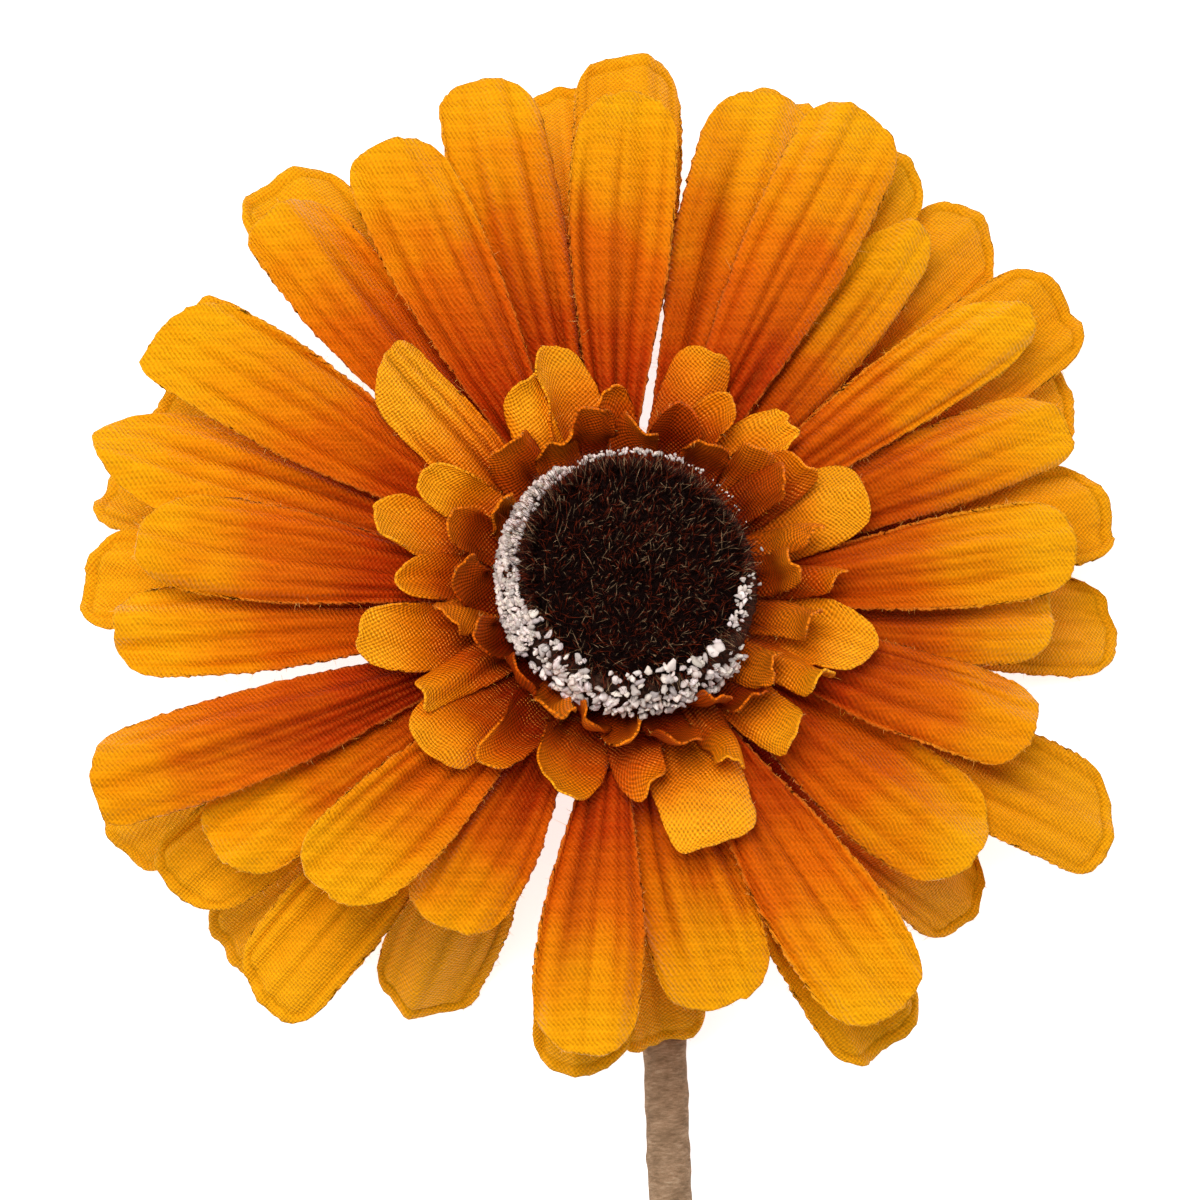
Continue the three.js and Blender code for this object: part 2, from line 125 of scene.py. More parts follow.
# Inner layers from the lowest up: azimuth, how far the tip stands out from the rim band, and width
INNER_LAYERS = [
    dict(name="mid_layer_2", tip_rise=8, bend_out=6.5, petals=[
        (22, 13.5, 9.5), (48, 10.5, 7), (73, 12, 9), (106.5, 12.5, 8), (137, 22.5, 8.5), (164, 14, 7.5),
        (192, 15, 7), (220, 17, 9), (250, 10, 8), (287, 16.5, 10), (316, 10, 7.5), (346, 12, 8)]),
    dict(name="mid_layer_1", tip_rise=8, bend_out=5, petals=[
        (5, 8.5, 6.5), (35, 7, 6.5), (60, 7.5, 6.5), (86, 8, 7), (120, 10, 6.5), (149, 10.5, 6.5),
        (176, 11, 6.5), (206, 11, 6.5), (234, 9.5, 6.5), (268, 8, 6.5), (302, 8.5, 6.5), (331, 8.5, 6.5)]),
    dict(name="frill_layer_2", tip_rise=9, bend_out=3.6, foot_short=2.2, petals=[
        (19, 5, 5.5), (49, 5, 5.5), (77, 5, 5.5), (105, 5.5, 5.5), (134, 6, 5.5), (162, 7, 5.5),
        (190, 6, 5.5), (219, 5, 5.5), (251, 5, 5.5), (284, 5, 5.5), (316, 5, 5.5), (347, 5, 5.5)]),
    dict(name="frill_layer_1", tip_rise=9.2, bend_out=3.4, foot_short=0.7, petals=[
        (3, 2.8, 5), (34, 3.2, 5), (62, 2.8, 5), (91, 2.8, 5), (120, 3.2, 5), (148, 3.2, 5),
        (176, 3.2, 5), (205, 2.8, 5), (235, 2.8, 5), (267, 2.8, 5), (300, 2.8, 5), (331, 2.8, 5)]),
]

layer_names = [layer["name"] for layer in RAY_LAYERS + INNER_LAYERS]


def layer_rise(name):
    return (layer_names.index(name) - layer_names.index("ray_layer_1")) * LAYER_PITCH


calyx_top = layer_rise("ray_layer_4") - HUB_THICKNESS / 2 - CLEARANCE
calyx_base = calyx_top - CALYX_LENGTH
stack_top = layer_rise("frill_layer_1") + HUB_THICKNESS / 2
backing_base = stack_top + 2 * CLEARANCE + PIN_HEAD_THICKNESS
pad_base = backing_base + BACKING_THICKNESS + CLEARANCE
rim_radius = PAD_RADIUS + CLEARANCE + RIM_BAND

tilt = math.radians(HEAD_TILT)
towards = math.radians(HEAD_TILT_TOWARDS)
head_axis = np.array([math.sin(tilt) * math.cos(towards), math.sin(tilt) * math.sin(towards), math.cos(tilt)])
head_turn = np.array(Vector((0, 0, 1)).rotation_difference(Vector(head_axis)).to_matrix())
low, high = (np.array(corner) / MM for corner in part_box("pad_backing"))
head_centre = (low + high) / 2 - head_axis * (backing_base + BACKING_THICKNESS / 2)


def polar(azimuth, radius, height=0.0):
    a = np.radians(azimuth)
    return np.stack(np.broadcast_arrays(np.cos(a) * radius, np.sin(a) * radius, height), axis=-1)


def on_head(azimuth, radius, rise):
    return polar(azimuth, radius, rise) @ head_turn.T + head_centre


def unit(vectors):
    return vectors / np.linalg.norm(vectors, axis=-1, keepdims=True)


def run_along(points):
    """How far along its line each point is."""
    steps = np.linalg.norm(np.diff(points, axis=0), axis=1)
    return np.concatenate([[0], np.cumsum(steps)])


def bezier(controls, t):
    """Points and unit tangents of a cubic curve."""
    a, b, c, d = (np.asarray(p, float) for p in controls)
    t = np.asarray(t)[..., None]
    k = 1 - t
    point = k**3 * a + 3 * k * k * t * b + 3 * k * t * t * c + t**3 * d
    tangent = 3 * k * k * (b - a) + 6 * k * t * (c - b) + 3 * t * t * (d - c)
    return point, unit(tangent)


# ---- meshes

def mesh_object(name, points, face_sets, material, uv=None, shade=None, smooth=True):
    """An object from millimetre points and arrays of faces, with a UV map and a colour for each point."""
    mesh = bpy.data.meshes.new(name)
    points = np.asarray(points, float)
    corners = np.concatenate([np.asarray(faces).ravel() for faces in face_sets])
    sizes = np.concatenate([np.full(len(faces), np.shape(faces)[1]) for faces in face_sets])
    mesh.vertices.add(len(points))
    mesh.vertices.foreach_set("co", (points * MM).ravel())
    mesh.loops.add(len(corners))
    mesh.loops.foreach_set("vertex_index", corners.astype(np.int32))
    mesh.polygons.add(len(sizes))
    mesh.polygons.foreach_set("loop_start", np.concatenate([[0], np.cumsum(sizes)[:-1]]).astype(np.int32))
    mesh.polygons.foreach_set("use_smooth", np.full(len(sizes), smooth))
    if uv is not None:
        flat = mesh.uv_layers.new(name="cloth")
        flat.data.foreach_set("uv", np.asarray(uv, dtype=np.float32)[corners].ravel())
    if shade is not None:
        attribute = mesh.attributes.new("shade", "FLOAT_COLOR", "POINT")
        attribute.data.foreach_set("color", np.asarray(shade, dtype=np.float32).ravel())
    mesh.materials.append(material)
    mesh.update(calc_edges=True)
    mesh.validate()
    thing = bpy.data.objects.new(name, mesh)
    bpy.context.scene.collection.objects.link(thing)
    return thing


def place(thing, slot, *nodes):
    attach(thing, "root")
    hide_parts(*nodes)
    return thing


class Batch:
    """Collects parts of one mesh, with their UVs and shades."""

    def __init__(self):
        self.points, self.faces, self.uv, self.shade = [], [], [], []
        self.count = 0

    def add(self, points, faces, uv, shade):
        self.points.append(points)
        self.faces.append(np.asarray(faces) + self.count)
        self.uv.append(uv)
        self.shade.append(shade)
        self.count += len(points)

    def build(self, name, material, smooth=True):
        return mesh_object(
            name, np.concatenate(self.points), self.faces, material,
            np.concatenate(self.uv), np.concatenate(self.shade), smooth,
        )


def grid_faces(rows, columns):
    i, j = np.meshgrid(np.arange(rows - 1), np.arange(columns - 1), indexing="ij")
    a = (i * columns + j).ravel()
    return np.stack([a, a + columns, a + columns + 1, a + 1], axis=-1)


def ring_faces(rows, steps):
    """Faces between rings of points that close on themselves."""
    i, j = np.meshgrid(np.arange(rows - 1), np.arange(steps), indexing="ij")
    a, b = (i * steps + j).ravel(), (i * steps + (j + 1) % steps).ravel()
    return np.stack([a, b, b + steps, a + steps], axis=-1)


def grid_normals(points):
    along = np.gradient(points, axis=0)
    across = np.gradient(points, axis=1)
    normal = np.cross(along, across)
    return normal / np.maximum(np.linalg.norm(normal, axis=-1, keepdims=True), 1e-9)


def shell_faces(rows, columns):
    """Faces of a closed sheet: an upper grid, a lower grid under it and the edge between them."""
    upper = grid_faces(rows, columns)
    size = rows * columns
    index = np.arange(size).reshape(rows, columns)
    loop = np.concatenate([index[:-1, 0], index[-1, :-1], index[:0:-1, -1], index[0, :0:-1]])
    following = np.roll(loop, -1)
    edge = np.stack([loop, loop + size, following + size, following], axis=-1)
    return np.concatenate([upper, upper[:, ::-1] + size, edge])


# ---- petals

def smooth_step(low_edge, high_edge, x):
    t = np.clip((x - low_edge) / (high_edge - low_edge), 0, 1)
    return t * t * (3 - 2 * t)


def wander(rng, x, waves, amount):
    """A smooth random line about zero, made of a few sine waves."""
    total = np.zeros_like(x)
    for wave in waves:
        total = total + math.sqrt(waves[0] / wave) * np.sin(2 * np.pi * (wave * x + rng.random()))
    return total * amount


class PetalShape:
    """How one petal is cut and pressed: mm and degrees, with notch, point and slant as shares of length."""

    def __init__(self, rng, width, root_width, given):
        self.rng = rng
        self.width = width
        self.root_width = root_width
        self.widest = 0.78  # share of the length
        self.taper = 2.0  # how long it stays narrow
        self.roundness = rng.uniform(0.72, 0.98)
        self.grooves = int(rng.integers(3, 6))
        self.groove_depth = rng.uniform(0.8, 1.3)
        self.groove_share = 1.0  # how far up the petal the grooves run
        self.groove_width = 1.0
        self.streak = 1.0  # strength of the finer creases between the grooves
        self.fold = 0.42  # depth of the broad waves across it
        self.raggedness = 1.0
        self.cup = rng.uniform(0.3, 1.3)
        self.cup_from, self.cup_full = 0.0, 0.3  # shares of the length
        self.curl = rng.uniform(-1.8, 1.2)
        self.bow = rng.uniform(-0.8, 0.8)
        self.twist = rng.uniform(-8, 8)
        self.ripple = rng.uniform(0.25, 0.6)
        self.tip_wave = 0.3
        self.slant = rng.uniform(-0.025, 0.025)
        self.notch = 0.0
        self.notch_at = rng.uniform(-0.3, 0.3)
        self.point = 0.0
        self.lip = 0.0
        self.tone = rng.random()
        self.__dict__.update(given)  # what sets this petal apart


def pressed_grooves(rng, shape, s, across):
    """Narrow valleys between broad ribs: how hard each place is pressed, and how deep in a valley it is."""
    press = smooth_step(0.05, 0.2, s) * (1 - 0.75 * smooth_step(0.7, 1.0, s / shape.groove_share))
    valley = np.zeros_like(s)
    for g in range(shape.grooves):
        centre = -0.8 + 1.6 * (g + 0.5 + rng.uniform(-0.42, 0.42)) / shape.grooves
        path = centre + wander(rng, s, (0.5, 1.3), 0.045)
        broad = rng.uniform(0.06, 0.15) * shape.groove_width
        ends = rng.uniform(0.55, 1.1) * shape.groove_share - 0.15 * abs(centre)
        dip = np.exp(-np.abs((across - path) / broad) ** 1.5)
        dip = dip * (1 - smooth_step(ends - 0.35, ends + 0.15, s)) * rng.uniform(0.35, 1.15)
        valley = np.maximum(valley, dip * press)
    return press, valley


def petal_sheet(batch, controls, azimuth, shape, rows, columns):
    """Adds one petal, a closed sheet along a curve; returns its flat area and its edge line."""
    rng = shape.rng
    v = np.sin(np.linspace(-1, 1, columns) * np.pi / 2)
    v = 0.5 * v + 0.5 * np.linspace(-1, 1, columns)
    across = v[None, :]
    u = np.linspace(0, 1, rows)[:, None]
    t = np.linspace(0, 1, 120)
    distance = run_along(bezier(controls, t)[0])
    run = distance[-1]
    rounding = shape.roundness * shape.width / 2 / run
    end = 1 - rounding * (1 - np.sqrt(np.clip(1 - np.abs(v) ** 2.5, 0, 1)))
    end = end - shape.notch * np.exp(-(((v - shape.notch_at) / 0.22) ** 2))
    end = end - shape.point * np.abs(v) + shape.slant * v
    uneven = wander(rng, v, (1.3, 3, 6), 0.12) + rng.uniform(-0.07, 0.07, columns)
    end = end + uneven * shape.raggedness / run
    s = u * end

    opening = np.sin(np.clip(s / shape.widest, 0, 1) * np.pi / 2) ** shape.taper
    half = (shape.root_width + (shape.width - shape.root_width) * opening) / 2
    half = half * (1 - 0.05 * smooth_step(shape.widest, 1, s))
    teeth = rng.uniform(-0.17, 0.13, (rows, columns)) * np.where(rng.random((rows, columns)) < 0.08, 2.0, 1.0)
    teeth = np.where(np.abs(across) > 0.999, teeth, 0) * shape.raggedness
    side_step = half * across + teeth * np.sign(v)[None, :]
    cupped = smooth_step(shape.cup_from, shape.cup_full, s)
    arc = 4 * shape.cup / shape.width * cupped * across  # radians from the middle line
    folded = side_step * np.sinc(arc / np.pi)

    point, forward = bezier(controls, np.interp(s, distance / run, t))
    chord = np.asarray(controls[3]) - np.asarray(controls[0])
    side = np.cross(head_axis, chord)
    side = side / np.linalg.norm(side)
    up = unit(np.cross(forward, side))
    side = np.cross(up, forward)
    roll = np.radians(shape.twist) * s[..., None] ** 1.5
    side, up = side * np.cos(roll) + up * np.sin(roll), up * np.cos(roll) - side * np.sin(roll)

    press, valley = pressed_grooves(rng, shape, s, across)
    drift = across + wander(rng, s, (0.4, 0.9), 0.06)
    streak = wander(rng, drift, (2.2, 3.6), shape.streak) * press
    # The finer creases also go into valley, which darkens the cloth's colour there as painted shade.
    valley = np.maximum(valley, np.clip(0.3 * streak, 0, 0.5))
    lift = shape.groove_depth * (0.25 * press - valley) - 0.05 * streak
    broad_fold = wander(rng, across + 0.15 * s, (0.55, 0.9), shape.fold) * smooth_step(0.1, 0.4, s)
    lift = lift + broad_fold
    lift = lift - side_step * arc / 2 * np.sinc(arc / (2 * np.pi)) ** 2
    edge = np.abs(across) ** 3
    wave_left = wander(rng, s, (1.6, 3.4), 0.8)
    wave_right = wander(rng, s, (1.6, 3.4), 0.8)
    lift = lift + shape.ripple * smooth_step(0.1, 0.5, s) * edge * np.where(across > 0, wave_left, wave_right)
    tip_zone = smooth_step(0.75, 1.0, s)
    lift = lift + shape.tip_wave * tip_zone * wander(rng, across + 0 * s, (0.8, 1.7), 1.0)
    lift = lift + shape.curl * smooth_step(0.65, 1.0, s) ** 1.5
    lift = lift + wander(rng, s, (1.1, 2.3), 0.22) * smooth_step(0.1, 0.4, s)
    inside = np.minimum((1 - np.abs(v))[None, :] * half, (end - s) * run)
    rim = np.exp(-(((inside - 1.4) / 0.3) ** 2)) * smooth_step(0.45, 0.75, s)
    lift = lift - shape.lip * rim
    # The pressed lip line is darkened through valley too: painted shade.
    valley = np.maximum(valley, 0.8 * shape.lip * rim)
    aside = folded + shape.bow * 4 * s * (1 - s)

    middle = point + side * aside[..., None] + up * lift[..., None]
    above = (middle[..., 2] - LOWEST_CLOTH) / FLOOR_EASE
    middle[..., 2] = LOWEST_CLOTH + FLOOR_EASE * np.logaddexp(0, above)
    normal = grid_normals(middle)
    upper = middle + normal * CLOTH / 2
    lower = middle - normal * CLOTH / 2

    turn = math.radians(azimuth)
    reach = HUB_RADIUS + s * run
    flat = np.stack([
        reach * math.cos(turn) - side_step * math.sin(turn),
        reach * math.sin(turn) + side_step * math.cos(turn),
    ], axis=-1).reshape(-1, 2)
    # The fourth channel, valley, darkens the cloth's colour in the grooves, creases and lip line: painted
    # shade.
    shade = np.stack([s, np.clip(inside / 4, 0, 1), np.full_like(s, shape.tone), valley], axis=-1)
    shade = shade.reshape(-1, 4)
    batch.add(
        np.concatenate([upper.reshape(-1, 3), lower.reshape(-1, 3)]),
        shell_faces(rows, columns),
        np.concatenate([flat, flat]),
        np.concatenate([shade, shade]),
    )
    outline = np.concatenate([middle[:, 0], middle[-1, 1:-1], middle[::-1, -1]])
    outwards = np.concatenate([-side[:, 0], forward[-1, 1:-1], side[::-1, -1]])
    pattern = flat.reshape(rows, columns, 2)
    cut = np.concatenate([pattern[:, 0], pattern[-1, 1:-1], pattern[::-1, -1]])
    following = np.roll(cut, -1, axis=0)
    flat_area = abs((cut[:, 0] * following[:, 1] - cut[:, 1] * following[:, 0]).sum()) / 2
    return flat_area, (outline, outwards)


def add_hub(batch, rise):
    """The disc that joins a layer's petals, with its hole for the pin."""
    rings, steps = 5, 49
    radius = np.linspace(HUB_HOLE, HUB_RADIUS, rings)[:, None]
    azimuth = np.linspace(0, 360, steps)[None, :]
    flat = polar(azimuth, radius)[..., :2].reshape(-1, 2)
    top = rise + CLOTH / 2
    upper = on_head(azimuth, radius, top).reshape(-1, 3)
    lower = on_head(azimuth, radius, top - CLOTH * 0.8).reshape(-1, 3)
    shade = np.tile([0.0, 1.0, 0.5, 0.0], (2 * len(upper), 1))
    batch.add(np.concatenate([upper, lower]), shell_faces(rings, steps), np.tile(flat, (2, 1)), shade)
    return math.pi * (HUB_RADIUS**2 - HUB_HOLE**2)


def seen(point):
    """Draws a point towards the camera's axis for its height, so that it is seen where it's drawn flat."""
    away = point - (head_centre + SIGHT_LINE)
    share = 1 - (point[2] - head_centre[2]) / VIEW_DISTANCE
    return np.array([*(head_centre + SIGHT_LINE + away * share)[:2], point[2]])


def ray_controls(layer, azimuth, short, raised=0.0):
    rise = layer_rise(layer["name"])
    lean = (1 - math.cos(math.radians(azimuth - HEAD_TILT_TOWARDS))) / 2
    height = layer["tip_low"] + (layer["tip_high"] - layer["tip_low"]) * lean + raised
    tip = seen(polar(azimuth, layer["reach"] - short, height) + head_centre * (1, 1, 0))
    root = on_head(azimuth, HUB_RADIUS - ROOT_IN_HUB, rise)
    shoulder = on_head(azimuth, HUB_RADIUS + SHOULDER, rise)
    crest = (shoulder + tip) / 2 + (0, 0, layer["arch"])
    return root, shoulder, crest, tip


def inner_controls(layer, azimuth, stand_out, rise_more):
    rise = layer_rise(layer["name"])
    return (
        on_head(azimuth, HUB_RADIUS - ROOT_IN_HUB, rise),
        on_head(azimuth, HUB_RADIUS + 3, rise),
        on_head(azimuth, rim_radius + layer["bend_out"], rise),
        on_head(azimuth, rim_radius + stand_out, rise + layer["tip_rise"] + rise_more),
    )


# ---- materials

def linear(red, green, blue):
    def one(value):
        value /= 255
        return value / 12.92 if value <= 0.04045 else ((value + 0.055) / 1.055) ** 2.4

    return one(red), one(green), one(blue)


class Nodes:
    """A new material, with short names for the node calls that the materials repeat."""

    def __init__(self, name):
        self.material = bpy.data.materials.new(name)
        self.material.use_nodes = True
        self.tree = self.material.node_tree
        self.shader = self.tree.nodes["Principled BSDF"]

    def new(self, kind, **settings):
        node = self.tree.nodes.new(kind)
        for key, value in settings.items():
            setattr(node, key, value)
        return node

    def feed(self, socket, value):
        if isinstance(value, (int, float, tuple)):
            socket.default_value = value
        else:
            self.tree.links.new(value, socket)

    def math(self, operation, a, b=0.0):
        node = self.new("ShaderNodeMath", operation=operation)
        self.feed(node.inputs[0], a)
        self.feed(node.inputs[1], b)
        return node.outputs[0]

    def times(self, a, b):
        return self.math("MULTIPLY", a, b)

    def about(self, value, amount):
        """A noise or random value from 0 to 1 as a shift either way."""
        return self.times(self.math("SUBTRACT", value, 0.5), amount)

    def total(self, *values):
        result = values[0]
        for value in values[1:]:
            result = self.math("ADD", result, value)
        return result

    def mix(self, factor, a, b, blend="MIX"):
        node = self.new("ShaderNodeMix", data_type="RGBA", blend_type=blend)
        self.feed(node.inputs[0], factor)
        self.feed(node.inputs[6], a)
        self.feed(node.inputs[7], b)
        return node.outputs[2]

    def grey(self, value):
        node = self.new("ShaderNodeCombineColor")
        for socket in node.inputs[:3]:
            self.feed(socket, value)
        return node.outputs[0]

    def split(self, kind, value):
        node = self.new(kind)
        self.feed(node.inputs[0], value)
        return node.outputs

    def noise(self, vector, scale, detail=2.0, roughness=0.5):
        node = self.new("ShaderNodeTexNoise")
        self.feed(node.inputs["Vector"], vector)
        node.inputs["Scale"].default_value = scale
        node.inputs["Detail"].default_value = detail
        node.inputs["Roughness"].default_value = roughness
        return node.outputs["Fac"]

    def stretched(self, vector, turn, scale):
        node = self.new("ShaderNodeMapping")
        self.feed(node.inputs["Vector"], vector)
        node.inputs["Rotation"].default_value = (0, 0, turn)
        node.inputs["Scale"].default_value = scale
        return node.outputs[0]

    def ramp(self, factor, stops):
        node = self.new("ShaderNodeValToRGB")
        elements = node.color_ramp.elements
        while len(elements) < len(stops):
            elements.new(0.5)
        for element, (at, colour) in zip(elements, stops.items()):
            element.position = at
            element.color = (*linear(*colour), 1)
        self.feed(node.inputs[0], factor)
        return node.outputs[0]

    def bump(self, height, depth, strength=1.0):
        """Pushes the surface out by up to `depth` millimetres."""
        node = self.new("ShaderNodeBump")
        node.inputs["Strength"].default_value = strength
        node.inputs["Distance"].default_value = depth * MM
        self.feed(node.inputs["Height"], height)
        self.feed(self.shader.inputs["Normal"], node.outputs[0])

    def finish(self, colour, roughness, specular, **others):
        self.feed(self.shader.inputs["Base Color"], colour)
        self.shader.inputs["Roughness"].default_value = roughness
        self.shader.inputs["Specular IOR Level"].default_value = specular
        for key, value in others.items():
            self.shader.inputs[key.replace("_", " ")].default_value = value
        return self.material


def cloth_material(name, stops, twill, thread_tone=0.2, gloss=0.55, specular=0.12, edge_tone=0.3):
    """Dyed woven polyester: weave at its real pitch, colour from root to tip, paler cut edges, painted shade
    in grooves.
    """
    n = Nodes(name)
    uv = n.new("ShaderNodeUVMap", uv_map="cloth").outputs["UV"]
    shade = n.new("ShaderNodeAttribute", attribute_name="shade", attribute_type="GEOMETRY")
    along, inside, pick = n.split("ShaderNodeSeparateColor", shade.outputs["Color"])[:3]
    valley = shade.outputs["Alpha"]
    x, y = n.split("ShaderNodeSeparateXYZ", uv)[:2]

    waver = n.times(n.noise(uv, 0.35), 0.9)
    turn = 2 * math.pi / THREAD
    warp = n.math("SINE", n.times(n.total(x, waver), turn))
    weft = n.math("SINE", n.times(n.total(y, waver), turn))
    plain = n.times(warp, weft)
    slope = n.total(x, n.times(y, 0.7), waver)
    rib = n.math("SINE", n.times(slope, turn))
    rib = n.total(n.times(rib, 0.75), n.times(weft, 0.25))
    weave = n.total(n.times(plain, 1 - twill), n.times(rib, twill))

    dye_and_groove_shade = n.total(along, n.about(n.noise(uv, 0.13, 3.0), 0.34), n.about(pick, 0.2))
    # Pushed towards the root's deeper red in the grooves and creases: painted shade.
    dye_and_groove_shade = n.math("SUBTRACT", dye_and_groove_shade, n.times(valley, 0.12))
    colour = n.ramp(dye_and_groove_shade, stops)
    edge = n.math("MAXIMUM", n.math("SUBTRACT", 1.0, n.times(inside, 14.0)), 0.0)
    colour = n.mix(n.times(edge, edge_tone), colour, (*linear(250, 186, 70), 1))
    slub = n.noise(n.stretched(uv, 0.6, (0.25, 2.6, 1)), 1.0, 3.0)
    thread = n.total(n.times(weave, thread_tone), n.about(slub, 0.3), 0.9)
    # Up to 42% darker in the grooves and creases, painted shade, and 6% lighter elsewhere, a painted
    # highlight.
    thread = n.times(thread, n.math("SUBTRACT", 1.06, n.times(valley, 0.42)))
    colour = n.mix(1.0, colour, n.grey(thread), "MULTIPLY")
    n.bump(weave, 0.09, 0.9)
    return n.finish(
        colour, gloss, specular,
        Specular_Tint=(*linear(255, 180, 70), 1),
        Sheen_Weight=0.03, Sheen_Roughness=0.4, Sheen_Tint=(*linear(255, 160, 40), 1),
    )


# Dyes: the colour at each share of the way from root to tip
FRONT_DYE = {
    0.0: (92, 7, 1), 0.15: (124, 17, 2), 0.36: (178, 50, 4),
    0.62: (210, 93, 4), 0.84: (229, 138, 5), 1.0: (235, 156, 8),
}
REAR_DYE = {
    0.0: (110, 10, 1), 0.24: (160, 36, 3), 0.48: (212, 92, 6),
    0.72: (236, 146, 9), 1.0: (240, 160, 14),
}
MID_DYE = {
    0.0: (96, 9, 2), 0.38: (136, 30, 3), 0.62: (194, 74, 4),
    0.82: (230, 122, 7), 1.0: (246, 156, 18),
}
FRILL_DYE = {
    0.0: (86, 8, 1), 0.45: (122, 26, 2),
    0.72: (178, 66, 5), 1.0: (220, 112, 12),
}


def grained_material(name, dark, light, roughness, scale, depth, specular=0.3, **others):
    """A surface with a grain of two tones, that also lifts it."""
    n = Nodes(name)
    place_in_object = n.new("ShaderNodeTexCoord").outputs["Object"]
    grain = n.noise(place_in_object, scale / MM, 4.0)
    n.bump(grain, depth)
    return n.finish(n.ramp(grain, {0.3: dark, 0.7: light}), roughness, specular, **others)


def shade_material(name, roughness, specular, scale=1.5, depth=0.05):
    """Takes its colour from the mesh, with a little grain."""
    n = Nodes(name)
    shade = n.new("ShaderNodeAttribute", attribute_name="shade", attribute_type="GEOMETRY").outputs["Color"]
    grain = n.noise(n.new("ShaderNodeTexCoord").outputs["Object"], scale / MM, 3.0)
    n.bump(grain, depth)
    tone = n.grey(n.total(n.about(grain, 0.3), 1.0))
    return n.finish(n.mix(1.0, shade, tone, "MULTIPLY"), roughness, specular)


def wrap_material():
    """Crepe paper wound on a slant, with fine creases along its winding and a mottled tone."""
    n = Nodes("crepe_paper")
    uv = n.new("ShaderNodeUVMap", uv_map="cloth").outputs["UV"]
    crease = n.noise(n.stretched(uv, WRAP_SLANT, (0.8, 3.0, 1)), 1.1, 4.0, 0.6)
    mottle = n.noise(n.stretched(uv, WRAP_SLANT, (0.6, 1.2, 1)), 0.7, 3.0)
    fibre = n.noise(uv, 6.0, 3.0)
    tone = n.total(n.times(crease, 0.5), n.times(mottle, 0.35), n.times(fibre, 0.15))
    n.bump(n.total(crease, n.times(fibre, 0.3)), 0.16)
    stops = {0.34: (106, 82, 60), 0.46: (134, 108, 82), 0.54: (152, 124, 97), 0.66: (178, 152, 124)}
    colour = n.ramp(tone, stops)
    return n.finish(colour, 0.85, 0.15)


# ---- the layers of petals

# What sets single petals apart, by layer and azimuth
LOOKS = {
    "ray_layer_4": {
        72: dict(root_width=3, azimuth=-0.6, taper=2.4),
        # The tone of 1.9 at 244 is painted light: paler colour for a petal that lies in the shade of the
        # layers above.
        244: dict(width=13.5, azimuth=-0.3, taper=3, tone=1.9),
    },
    "ray_layer_3": {
        88: dict(root_width=3, azimuth=0.6, taper=2.3),
        266: dict(azimuth=-0.6, taper=3.4, root_width=3),
    },
    "ray_layer_2": {
        24: dict(width=10.4, roundness=1.0, azimuth=-2),
        52.5: dict(width=10.5, roundness=1.2, slant=-0.07, point=0.05, bow=-0.8),
        74: dict(root_width=3, azimuth=-0.6, taper=2.1, tone=0.7),
        162.5: dict(roundness=1.6, point=0.05, bow=-0.5, tone=0.9),
        184.5: dict(width=10.6, azimuth=-0.7, taper=2.3),
        212: dict(tone=0.7),
        242.5: dict(roundness=0.75, bow=0.4, taper=2.3, azimuth=-1),
        285: dict(roundness=0.7, tip_wave=0.15),
        325: dict(tone=0.5),
    },
    "ray_layer_1": {
        7.5: dict(width=11.5, curl=-1.0),
        37: dict(width=9.8, roundness=1.3, point=0.04, groove_depth=1.0, bow=0.9, azimuth=-1.5),
        88.5: dict(roundness=0.95, point=0.01, root_width=3.4, azimuth=0.1, taper=2.1, tone=0.55),
        117: dict(roundness=0.9, slant=0.02),
        149: dict(roundness=0.75, slant=0.035, tone=0.8),
        171.5: dict(roundness=1.3, slant=0.04, bow=0.6, tone=0.3),
        198.5: dict(width=11.6, azimuth=0.8, taper=2.5),
        224: dict(tone=0.8),
        266.5: dict(azimuth=-1.2, taper=2.8, root_width=3.8, roundness=1.0),
        341: dict(width=11.5, azimuth=2),
    },
    "mid_layer_2": {
        22: dict(
            width=10, curl=-1.8, cup=1.5, tone=1.3, bow=0.8, roundness=1.15, slant=0.0, tip_wave=0.05,
            ripple=0.15, fold=0.1, twist=-8, azimuth=1),
        48: dict(width=8.0, cup=-1.6, tip_wave=0.6, tone=0.9),
        73: dict(
            width=8.2, cup=1.6, curl=-1.0, tone=0.1, slant=0.0, roundness=1.15, tip_wave=0.05,
            ripple=0.15, twist=6, azimuth=-2.5, bow=-0.3, shorter=-1.2),
        106.5: dict(width=8.4, cup=-1.8, curl=-2.2, tone=1.0, slant=0.06, roundness=0.6),
        137: dict(
            width=9.2, cup=0.9, tone=1.7, roundness=0.9, twist=6, bow=0.3, slant=-0.03, tip_wave=0.1,
            grooves=3, groove_depth=1.1, groove_width=1.0, groove_share=1.2),
        164: dict(width=8.0, cup=-1.7, curl=-1.5, tone=0.9, twist=28),
        192: dict(width=8.0, cup=-0.8, tone=0.8, twist=-26),
        220: dict(width=9.6, cup=0.7, curl=-1.5, tone=0.3, roundness=0.85, shorter=3),
        250: dict(width=9.0, cup=-1.2, curl=-1.4, tone=0.3, shorter=1.5),
        287: dict(
            width=11, cup=0.9, curl=-3.6, tone=1.1, roundness=0.45, shorter=3.5, azimuth=2, bow=0.6,
            twist=0, slant=0.0, tip_wave=0.1),
        316: dict(width=6.5, shorter=1),
        346: dict(width=8.6, cup=-1.2, curl=-2.2, tone=1.2, roundness=0.8, twist=-20),
    },
    "mid_layer_1": {
        86: dict(azimuth=7, shorter=3, tone=-0.6, width=6.0),
        302: dict(width=5.0, shorter=2.5, tone=0.2),
    },
}


